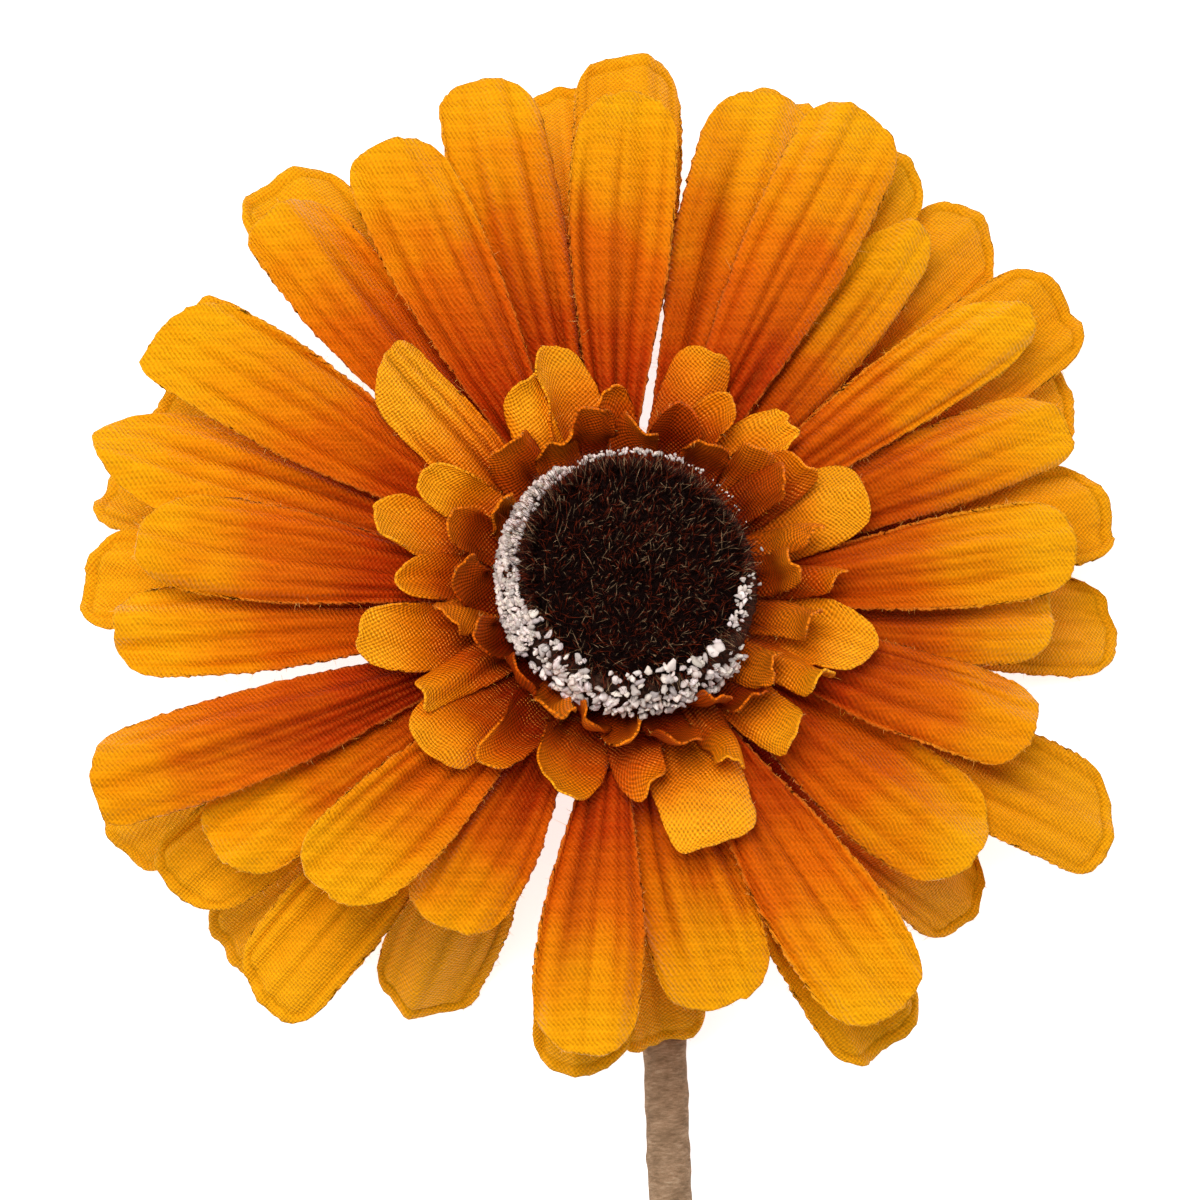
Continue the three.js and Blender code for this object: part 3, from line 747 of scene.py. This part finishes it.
def build_threads(name, edges, rng, material, per_edge):
    """Frayed ends of thread along the petals' cut edges."""
    starts, ways = [], []
    for outline, outwards in edges:
        chosen = rng.integers(len(outline) // 6, 5 * len(outline) // 6, per_edge)
        starts.append(outline[chosen])
        ways.append(outwards[chosen])
    starts, ways = np.concatenate(starts), np.concatenate(ways)
    count = len(starts)
    way = ways + rng.normal(0, 0.75, (count, 3)) * (1, 1, 0.5)
    bends = rng.normal(0, 0.35, (count, 3))
    on_floor = starts[:, 2] < 1.5
    way[on_floor, 2] = np.abs(way[on_floor, 2])
    bends[on_floor, 2] = np.abs(bends[on_floor, 2])
    way = unit(way)
    length = rng.uniform(0.15, 0.5, count) + rng.exponential(0.2, count)
    shade = np.ones((count, 4))
    paler = rng.uniform(0, 0.25, (count, 1)) * np.array([1, 0.9, 0.6])
    shade[:, :3] = np.array(linear(236, 160, 40)) + paler
    return strands(name, starts - way * 0.08, way, length, 0.032, bends, shade, shade, material, 2)


def strands(name, starts, ways, lengths, radius, bends, root_shade, tip_shade, material, steps):
    """Tapered three-sided hairs, in one mesh."""
    count = len(starts)
    helper = np.where(np.abs(ways[:, 2:3]) < 0.9, [[0.0, 0.0, 1.0]], [[1.0, 0.0, 0.0]])
    sideways = unit(np.cross(ways, helper))
    upright = np.cross(ways, sideways)
    radius = np.broadcast_to(radius, count)
    points = np.empty((count, steps * 3 + 1, 3))
    shade = np.empty((count, steps * 3 + 1, 4))
    for step in range(steps + 1):
        t = step / steps
        middle = starts + (ways * t + bends * t * t) * lengths[:, None]
        tone = root_shade * (1 - t) + tip_shade * t
        if step == steps:
            points[:, -1] = middle
            shade[:, -1] = tone
            break
        for side in range(3):
            angle = side * 2 * math.pi / 3
            spoke = sideways * math.cos(angle) + upright * math.sin(angle)
            points[:, step * 3 + side] = middle + spoke * (radius * (1 - 0.55 * t))[:, None]
            shade[:, step * 3 + side] = tone
    quads, tris = [], [[2, 1, 0]]
    for step in range(steps - 1):
        for side in range(3):
            a, b = step * 3 + side, step * 3 + (side + 1) % 3
            quads.append([a, b, b + 3, a + 3])
    last = (steps - 1) * 3
    for side in range(3):
        tris.append([last + side, last + (side + 1) % 3, last + 3])
    base = (np.arange(count) * (steps * 3 + 1))[:, None, None]
    sets = [(np.array(group)[None] + base).reshape(-1, len(group[0])) for group in (quads, tris) if group]
    return mesh_object(name, points.reshape(-1, 3), sets, material, shade=shade.reshape(-1, 4))


def ray_petal(batch, layer, petal, given, rng):
    azimuth, short, width, *raised = petal
    azimuth = azimuth + given.pop("azimuth", 0.0)
    controls = ray_controls(layer, azimuth, short, *raised)
    defaults = dict(lip=REAR_LIP) if layer in RAY_LAYERS[:2] else {}
    shape = PetalShape(rng, given.pop("width", width), RAY_ROOT, {**defaults, **given})
    return petal_sheet(batch, controls, azimuth, shape, *RAY_GRID)


def nearness(azimuth, centre, full, none):
    """1 up to `full` degrees from a direction, falling to 0 at `none` degrees."""
    return 1 - smooth_step(full, none, abs((azimuth - centre + 180) % 360 - 180))


def inner_petal(batch, layer, petal, given, rng):
    azimuth, stand_out, width = petal
    width = given.pop("width", width)
    azimuth = azimuth + given.pop("azimuth", 0.0)
    defaults = dict(
        cup=rng.choice([-1, 1]) * rng.uniform(0.9, 2.1), grooves=1, groove_depth=0.45, groove_width=1.5,
        groove_share=0.8, fold=rng.uniform(0.05, 0.25), ripple=rng.uniform(0.15, 0.5),
        curl=rng.uniform(-3.0, -0.2), tip_wave=rng.uniform(0, 0.2), bow=rng.uniform(-1.0, 1.0),
        twist=rng.uniform(-55, 55), widest=0.74, slant=rng.uniform(-0.05, 0.05),
        roundness=rng.uniform(0.85, 1.25), raggedness=0.5, taper=1.3, tone=rng.uniform(-0.6, 1.6),
        cup_from=0.34, cup_full=0.8, streak=0.4,
    )
    if layer["name"].startswith("frill"):
        dark = nearness(azimuth, *FRILL_DARK)
        foot = nearness(azimuth, *FRILL_FOOT)
        stand_out = stand_out - foot * layer["foot_short"] - dark * 0.8
        width = width * (1 + 0.25 * dark)
        # Darker towards FRILL_DARK and FRILL_FOOT: painted shade, over random tone.
        defaults.update(
            cup=rng.choice([-1, 1]) * rng.uniform(0.6, 1.5), curl=rng.uniform(-1.8, 0.4),
            ripple=rng.uniform(0.15, 0.6), tone=rng.uniform(-0.2, 2.2) - 1.2 * dark - 0.7 * foot,
        )
    rise_more = 0.0
    if not given:
        azimuth = azimuth + rng.uniform(-5, 5)
        stand_out = stand_out + rng.uniform(-1.6, 1.0)
        width = width * rng.uniform(0.82, 1.06)
        rise_more = rng.uniform(-1.6, 1.0)
    controls = inner_controls(layer, azimuth, stand_out - given.pop("shorter", 0.0), rise_more)
    shape = PetalShape(rng, width, INNER_ROOT, {**defaults, **given})
    return petal_sheet(batch, controls, azimuth, shape, *INNER_GRID)


def build_layer(layer, material, thread_material, slot, ray):
    name = layer["name"]
    batch = Batch()
    rng = np.random.default_rng(SEED + layer_names.index(name))
    area = add_hub(batch, layer_rise(name))
    edges = []
    for petal in layer["petals"]:
        given = dict(LOOKS.get(name, {}).get(petal[0], {}))
        flat_area, edge = (ray_petal if ray else inner_petal)(batch, layer, petal, given, rng)
        area += flat_area
        edges.append(edge)
    thing = place(batch.build(name + "_cloth", material), slot, name)
    threads = build_threads(name + "_frays", edges, rng, thread_material, RAY_FRAYS if ray else INNER_FRAYS)
    place(threads, slot, name)


def build_petals():
    rear = cloth_material("rear_cloth", REAR_DYE, 0.1, 0.24, edge_tone=0.15)
    front = cloth_material("front_cloth", FRONT_DYE, 0.6, 0.27, gloss=0.45, specular=0.25, edge_tone=0.15)
    mid = cloth_material("mid_cloth", MID_DYE, 0.2, 0.5, gloss=0.33, specular=0.8, edge_tone=0.0)
    frill = cloth_material("frill_cloth", FRILL_DYE, 0.15, 0.66, gloss=0.4, specular=0.4, edge_tone=0.0)
    frays = shade_material("frayed_thread", 0.8, 0.1)
    for index, layer in enumerate(RAY_LAYERS):
        material, slot = (rear, "rear_ray_cloth") if index < 2 else (front, "front_ray_cloth")
        build_layer(layer, material, frays, slot, True)
    for index, layer in enumerate(INNER_LAYERS):
        material, slot = (mid, "mid_cloth") if index < 2 else (frill, "frill_cloth")
        build_layer(layer, material, frays, slot, False)


# ---- the pad

def pad_top(radius):
    share = radius / PAD_RADIUS
    return pad_base + PAD_HEIGHT - 0.9 * share**2 - 1.1 * smooth_step(0.82, 1.0, share)


def turned(name, profile, steps, material, rng=None, rough=0.0):
    """A profile of radius and rise turned round the head's axis, with a rough surface where asked."""
    radius, rise = np.array(profile, float).T
    azimuth = np.linspace(0, 360, steps, endpoint=False)
    points = on_head(azimuth[None, :], radius[:, None], rise[:, None])
    if rng is not None:
        points = points + rng.normal(0, rough, points.shape) * (radius[:, None, None] > 0.01)
    return mesh_object(name, points.reshape(-1, 3), [ring_faces(len(profile), steps)], material)


def build_pad():
    rng = np.random.default_rng(SEED + 20)
    core_profile = [(radius, pad_base) for radius in (0.02, 4, 8, BACKING_RADIUS - 0.5)]
    core_profile += [(PAD_RADIUS - 0.9, pad_base + rise) for rise in (1.2, 3, 4.6)]
    core_profile += [(radius, pad_top(radius) - 2.0) for radius in np.linspace(PAD_RADIUS - 1.2, 0.02, 14)]
    core = turned(
        "pad_core", core_profile, 96,
        grained_material("bristle_roots", (6, 2, 2), (22, 8, 5), 0.9, 2.2, 0.2, 0.05), rng, 0.09,
    )
    place(core, "bristles", "bristle_pad")

    # Bristles over the top: upright in the middle, leaning out towards the rim
    count = BRISTLES
    radius = (PAD_RADIUS - 1.1) * np.sqrt(rng.random(count))
    azimuth = rng.uniform(0, 360, count)
    edge = smooth_step(0.55, 1.0, radius / PAD_RADIUS)
    starts = on_head(azimuth, radius, pad_top(radius) - 2.6)
    lean = np.radians(8 + 42 * edge + rng.normal(0, 13, count))
    lean_azimuth = azimuth + rng.normal(0, 1, count) * (95 - 60 * edge)
    ways = polar(lean_azimuth, np.sin(lean), np.cos(lean)) @ head_turn.T
    lengths = rng.uniform(2.0, 3.1, count) / np.cos(lean * 0.75)

    # Bristles of the side, that stand out over the crumbs; longest at the upper left
    side_count = SIDE_BRISTLES
    crowded = rng.random(side_count) < 0.4
    side_azimuth = np.where(crowded, rng.normal(155, 40, side_count), rng.uniform(0, 360, side_count))
    long_side = np.exp(-(((side_azimuth - 150) / 55) ** 2))
    height = rng.uniform(0, 1, side_count)
    side_starts = on_head(side_azimuth, PAD_RADIUS - 1.4, pad_base + 2.5 + height * (PAD_HEIGHT - 4.6))
    side_lean = np.radians(np.clip(88 - 46 * height + rng.normal(0, 13, side_count), 15, 100))
    turn = side_azimuth + rng.normal(0, 24, side_count)
    side_ways = polar(turn, np.sin(side_lean), np.cos(side_lean)) @ head_turn.T
    side_lengths = rng.uniform(1.5, 2.5, side_count) + long_side * rng.uniform(0, 2.8, side_count)

    starts = np.concatenate([starts, side_starts])
    ways = np.concatenate([ways, side_ways])
    lengths = np.concatenate([lengths, side_lengths])
    total = len(starts)
    # Dark roots and lighter tips: painted shade deep in the pad and painted light on the tips, over random
    # tones.
    kind = rng.random(total)[:, None]
    pale = np.where(kind < 0.9, [linear(148, 54, 24)], [linear(206, 166, 124)])
    tips = np.where(kind < 0.66, [linear(34, 8, 5)], pale)
    tips = tips * rng.uniform(0.5, 1.3, (total, 1))
    roots = np.where(kind < 0.9, [linear(12, 3, 2)], [linear(60, 34, 20)])
    ones = np.ones((total, 1))
    bristles = strands(
        "bristles", starts, ways, lengths, rng.uniform(0.032, 0.062, total), rng.normal(0, 0.13, (total, 3)),
        np.hstack([roots, ones]), np.hstack([tips, ones]), shade_material("bristle", 0.5, 0.12), 3,
    )
    place(bristles, "bristles", "bristle_pad")


# ---- crumbs round the pad

def unit_ball():
    """Points and triangles of a small ball."""
    mesh = bpy.data.meshes.new("ball")
    work = bmesh.new()
    bmesh.ops.create_icosphere(work, subdivisions=2, radius=1)
    work.to_mesh(mesh)
    work.free()
    points = np.empty(len(mesh.vertices) * 3)
    mesh.vertices.foreach_get("co", points)
    faces = np.array([list(face.vertices) for face in mesh.polygons])
    bpy.data.meshes.remove(mesh)
    return points.reshape(-1, 3), faces


def crumb_spots(rng):
    """Places and sizes of the crumbs: azimuth, way down the pad's side from its top edge (mm), size."""
    spots = []

    def scatter(count, low_azimuth, high_azimuth, top, bottom, small, large):
        for _ in range(count):
            spots.append((
                rng.uniform(low_azimuth, high_azimuth), rng.uniform(top, bottom), rng.uniform(small, large),
            ))

    scatter(640, 122, 214, 0.1, 6.0, 0.2, 0.44)
    scatter(110, 200, 245, -0.8, 5.6, 0.26, 0.56)
    scatter(80, 240, 322, -1.6, 2.6, 0.24, 0.66)
    scatter(130, 232, 326, 2.2, 6.0, 0.24, 0.56)
    scatter(44, 328, 362, -1.7, -0.2, 0.16, 0.42)
    scatter(100, 66, 124, 0.2, 1.8, 0.12, 0.3)
    scatter(18, 24, 66, 0.2, 0.8, 0.08, 0.2)
    scatter(14, 0, 360, 0.0, 5.0, 0.14, 0.3)
    return spots


def rim_point(azimuth, down):
    """A place on the pad's outside: over its top for `down` below 0, and down its side after that."""
    if down < 0:
        radius = PAD_RADIUS + down * 1.0
        return radius, float(pad_top(np.array(radius))) + 0.35
    radius = PAD_RADIUS + CLEARANCE + 0.2 + 1.6 * min(1, down / 4.5)
    return radius, float(pad_top(np.array(PAD_RADIUS))) - down


def build_crumbs():
    rng = np.random.default_rng(SEED + 30)
    foot = backing_base + 0.4
    bed_profile = [(PAD_RADIUS - 0.8, foot), (PAD_RADIUS + 1.4, foot), (PAD_RADIUS + 1.5, foot + 1)]
    bed_profile += [(PAD_RADIUS + 0.9, foot + 3.5)]
    bed_profile += [(PAD_RADIUS - inset, foot + RIM_BAND_HEIGHT) for inset in (0.2, 0.9)]
    bed = turned(
        "crumb_bed", bed_profile + bed_profile[:1], 160,
        grained_material("glue_and_dust", (30, 14, 9), (96, 66, 52), 0.9, 1.6, 0.3, 0.1), rng, 0.1,
    )
    place(bed, "crumbs", "rim_crumbs")

    ball, ball_faces = unit_ball()
    points, shades, faces = [], [], []
    for azimuth, down, size in crumb_spots(rng):
        radius, rise = rim_point(azimuth, down)
        centre = on_head(azimuth, radius + rng.uniform(-0.1, 0.35), rise)
        long_way = rng.uniform(0.9, 1.5) if size > 0.4 else 1.0
        shape = ball * (long_way, rng.uniform(0.6, 1.0), rng.uniform(0.45, 0.8)) * size
        for _ in range(3):
            way = rng.normal(0, 1, 3)
            shape = shape * (1 + 0.2 * np.sin(ball @ way * 2.6 + rng.uniform(0, 6)))[:, None]
        shape = shape * (1 + rng.uniform(-0.08, 0.08, (len(ball), 1)))
        turn = np.linalg.qr(rng.normal(0, 1, (3, 3)))[0]
        turn = turn * np.sign(np.linalg.det(turn))
        light = rng.uniform(0.5, 1.08)
        tint = np.array([1, rng.uniform(0.93, 1), rng.uniform(0.9, 1)])
        tone = np.array(linear(240, 226, 218)) * light * tint
        faces.append(ball_faces + len(ball) * len(points))
        points.append(centre + shape @ turn.T)
        shades.append(np.tile([*tone, 1.0], (len(ball), 1)))
    crumbs = mesh_object(
        "crumbs", np.concatenate(points), [np.concatenate(faces)],
        shade_material("crumb", 0.75, 0.25, 3.0, 0.04),
        shade=np.concatenate(shades),
    )
    place(crumbs, "crumbs", "rim_crumbs")


# ---- calyx and stem

def build_calyx():
    rng = np.random.default_rng(SEED + 40)
    plastic = grained_material("calyx_plastic", (78, 84, 34), (112, 114, 52), 0.42, 0.8, 0.05, 0.45)
    bore, socket = HUB_HOLE, STEM_RADIUS + CLEARANCE
    neck = CALYX_NECK_RADIUS
    corners = [(bore, calyx_top), (bore, calyx_base + SOCKET_DEPTH), (socket, calyx_base + SOCKET_DEPTH)]
    corners += [(socket, calyx_base), (neck - 0.25, calyx_base), (neck, calyx_base + 0.25)]
    corners += [(neck + flare, calyx_base + rise) for flare, rise in ((0.2, 1.5), (0.7, 3), (1.7, 5))]
    corners += [(CALYX_RADIUS * 0.86, calyx_top - 3.4), (CALYX_RADIUS * 0.97, calyx_top - 2)]
    corners += [(CALYX_RADIUS, calyx_top - 1.1), (CALYX_RADIUS - 0.2, calyx_top - 0.4)]
    corners += [(CALYX_RADIUS - 0.7, calyx_top), (bore, calyx_top)]
    cup = turned("calyx_moulding", corners, 72, plastic)
    place(cup, "calyx_plastic", "calyx_cup")
    batch = Batch()
    for index in range(SEPALS):
        azimuth = index * 360 / SEPALS
        rise = calyx_top - 1.6
        start = on_head(azimuth, CALYX_RADIUS - 2, rise)
        bend = on_head(azimuth, CALYX_RADIUS + 2, rise - 0.8)
        tip = on_head(azimuth, SEPAL_REACH, calyx_top - SEPAL_DROP)
        controls = (start, start + (bend - start) * 2 / 3, tip + (bend - tip) * 2 / 3, tip)
        shape = PetalShape(rng, 3.6, 3.2, dict(
            roundness=1.9, point=0.12, grooves=1, groove_depth=0.3, groove_share=1.6, cup=0.5,
            curl=rng.uniform(-0.4, 0.6), bow=rng.uniform(-0.3, 0.3), twist=rng.uniform(-6, 6),
            ripple=0.08, tip_wave=0.05, slant=0.0, widest=0.35,
        ))
        petal_sheet(batch, controls, azimuth, shape, 26, 13)
    place(batch.build("sepals", plastic), "calyx_plastic", "calyx_cup")


def stem_route():
    """Points every so often along the stem, from inside the calyx to the cut end."""
    heading = np.array([math.sin(math.radians(STEM_SLANT)), -math.cos(math.radians(STEM_SLANT)), 0])
    ground = head_centre * (1, 1, 0)
    top = on_head(0, 0, calyx_base + SOCKET_DEPTH - CLEARANCE)
    bend_start = on_head(0, 0, calyx_base - 1)
    bend_end = ground + (BEND_OFFSET, -BEND_LENGTH, STEM_RADIUS)
    neck = (
        bend_start, bend_start - head_axis * (bend_start[2] - STEM_RADIUS) * 0.85,
        bend_end - heading * BEND_LENGTH * 0.45, bend_end,
    )
    socket = top + (bend_start - top) * np.linspace(0, 1, 8, endpoint=False)[:, None]
    curve = bezier(neck, np.linspace(0, 1, 60, endpoint=False))[0]
    straight = bend_end + heading * np.linspace(0, STEM_RUN, 560)[:, None]
    return np.concatenate([socket, curve, straight])


def tube_frames(route):
    forward = unit(np.gradient(route, axis=0))
    across = np.cross(forward, (0, 0, 1.0))
    lost = np.linalg.norm(across, axis=1) < 0.35
    across[lost] = (-1.0, 0, 0)
    across = unit(across - forward * (across * forward).sum(axis=1, keepdims=True))
    return forward, across, np.cross(across, forward)


def build_wrap():
    rng = np.random.default_rng(SEED + 50)
    route = stem_route()
    forward, across, up = tube_frames(route)
    distance = run_along(route)[:, None]
    sides = 56
    angle = np.linspace(0, 2 * np.pi, sides, endpoint=False)[None, :]
    winding = angle / (2 * np.pi) + distance / WINDING  # turns of the strip
    step = (winding % 1.0) ** 6 * 0.09
    lumps = 0.05 * np.sin(2 * np.pi * distance / 7.3 + 2 * angle)
    lumps = lumps + 0.04 * np.sin(2 * np.pi * distance / 3.1 + angle + 1)
    crease = 0.025 * np.sin(7 * angle - distance * 3.1 + np.sin(distance / 2))
    crease = crease * (0.5 + 0.5 * np.sin(distance / 3 + angle))
    outer = STEM_RADIUS - 0.12 + step + lumps + crease + rng.normal(0, 0.012, winding.shape)
    inner = np.full_like(outer, STEM_RADIUS - 0.3)
    rings = []
    for radius in (outer, inner):
        spoke = across[:, None, :] * np.cos(angle)[..., None] + up[:, None, :] * np.sin(angle)[..., None]
        rings.append(route[:, None, :] + spoke * radius[..., None])
    count = len(route)
    wall = np.roll(ring_faces(count, sides)[:, ::-1], 1, axis=1)
    size = count * sides
    ends = []
    for row, flip in ((0, False), (count - 1, True)):
        j = np.arange(sides)
        a, b = row * sides + j, row * sides + (j + 1) % sides
        ring = np.stack([a, b, b + size, a + size], axis=-1)
        ends.append(ring[:, ::-1] if flip else ring)
    along = np.broadcast_to(distance, winding.shape)
    around = np.broadcast_to(angle * STEM_RADIUS, winding.shape)
    uv = np.stack([around, along], axis=-1).reshape(-1, 2)
    wrap = mesh_object(
        "paper_wrap", np.concatenate([rings[0].reshape(-1, 3), rings[1].reshape(-1, 3)]),
        [wall, wall[:, ::-1] + size, *ends], wrap_material(), uv=np.tile(uv, (2, 1)),
    )
    place(wrap, "wrap_paper", "stem_wrap")


# ---- CAD pieces that stay, and the felt

def build_rest():
    rng = np.random.default_rng(SEED + 60)
    top = backing_base + BACKING_THICKNESS
    rings = [(radius, backing_base) for radius in np.linspace(HUB_HOLE, BACKING_RADIUS, 16)]
    rings += [(BACKING_RADIUS + 0.05, backing_base + 0.5), (BACKING_RADIUS + 0.05, top - 0.4)]
    rings += [(radius, top) for radius in np.linspace(BACKING_RADIUS, HUB_HOLE, 16)]
    rings += [(HUB_HOLE, backing_base)]
    felt = turned(
        "felt_backing", rings, 120,
        grained_material("felt", (44, 24, 16), (74, 44, 30), 0.95, 3.0, 0.2, 0.05), rng, 0.05,
    )
    place(felt, "backing_felt", "pad_backing")
    pin = grained_material("pin_plastic", (96, 92, 80), (122, 117, 102), 0.5, 0.6, 0.03, 0.4)
    wire = grained_material(
        "wire_steel", (130, 130, 132), (168, 168, 170), 0.35, 2.0, 0.02, 0.5, Metallic=1.0)
    sheath = grained_material("sheath_plastic", (74, 88, 42), (102, 114, 62), 0.45, 0.5, 0.04, 0.4)
    for node, material in (("head_pin", pin), ("stem_wire", wire), ("stem_sheath", sheath)):
        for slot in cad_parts[node].material_slots:
            slot.material = material


# ---- stage

def build_stage():
    size = 3.0 / MM
    corners = [(-size, -size, 0), (size, -size, 0), (size, size, 0), (-size, size, 0)]
    n = Nodes("floor_white")
    n.finish((0.85, 0.85, 0.85, 1), 0.9, 0.1, Emission_Color=(1, 1, 1, 1), Emission_Strength=0.75)
    floor = mesh_object("floor", corners, [np.array([[0, 1, 2, 3]])], n.material, smooth=False)

    world = bpy.data.worlds.new("studio")
    world.use_nodes = True
    background = world.node_tree.nodes["Background"].inputs
    background["Color"].default_value = (1, 1, 1, 1)
    background["Strength"].default_value = 0.4
    bpy.context.scene.world = world

    target = Vector(head_centre * MM)
    for name, at, size, power in (
        ("overhead_box", (-0.1, 0.3, 1.1), 0.42, 10.2),
        ("right_box", (0.85, 0.3, 0.55), 0.5, 1.2),
        ("left_box", (-0.8, 0.1, 0.7), 0.6, 3.2),
    ):
        light = bpy.data.lights.new(name, "AREA")
        light.size = size
        light.energy = power
        lamp = bpy.data.objects.new(name, light)
        lamp.location = target + Vector(at)
        lamp.rotation_euler = (target - lamp.location).to_track_quat("-Z", "Y").to_euler()
        bpy.context.scene.collection.objects.link(lamp)


def build_camera():
    """Looks straight down on the head."""
    data = bpy.data.cameras.new("camera")
    data.lens = data.sensor_width * VIEW_DISTANCE / VIEW_WIDTH
    data.clip_end = 20
    camera = bpy.data.objects.new("camera", data)
    camera.location = Vector((head_centre + SIGHT_LINE + (0, 0, VIEW_DISTANCE)) * MM)
    bpy.context.scene.collection.objects.link(camera)
    bpy.context.scene.camera = camera


build_petals()
build_pad()
build_crumbs()
build_calyx()
build_wrap()
build_rest()
build_stage()
build_camera()
bpy.context.scene.view_settings.view_transform = "Standard"
